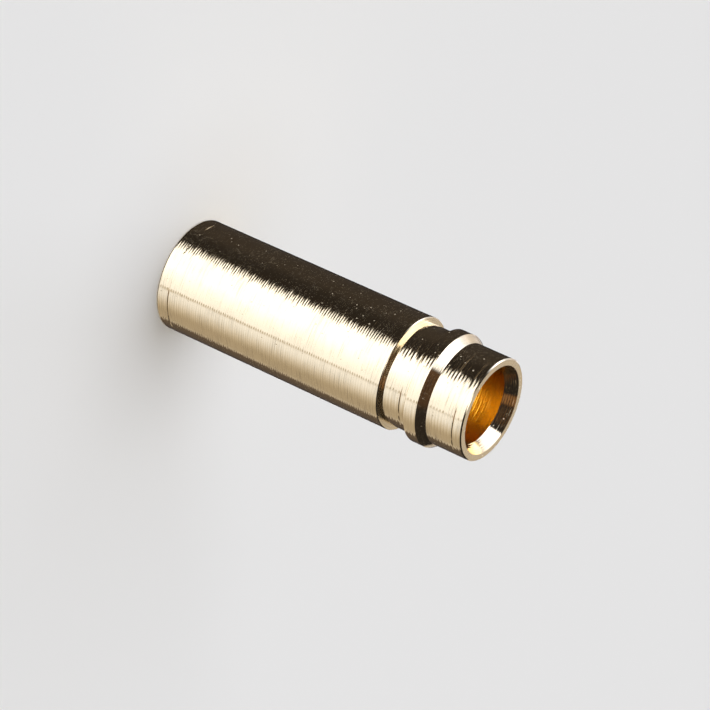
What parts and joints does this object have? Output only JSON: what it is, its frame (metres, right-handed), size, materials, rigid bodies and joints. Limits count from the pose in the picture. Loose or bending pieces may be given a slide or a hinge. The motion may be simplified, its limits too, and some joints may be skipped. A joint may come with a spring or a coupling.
{
  "type": "battery lead connector",
  "caption": "Round gold-plated female lead connector: a plain barrel with a plug socket, and a grooved, collared tail with a countersunk solder cup.",
  "frame": {"origin": "centre of the rear face, on the turning axis, where the connector stands on end", "axes": "+Z along the turning axis, from the plug socket at the rear to the solder cup at the front; X and Y are equivalent"},
  "size_m": [0.005, 0.005, 0.0154],
  "materials": {
    "gold_plate": "bright gold plate over fine turning marks"
  },
  "bodies": {
    "root": {"connector_body": "gold_plate"}
  },
  "joints": []
}
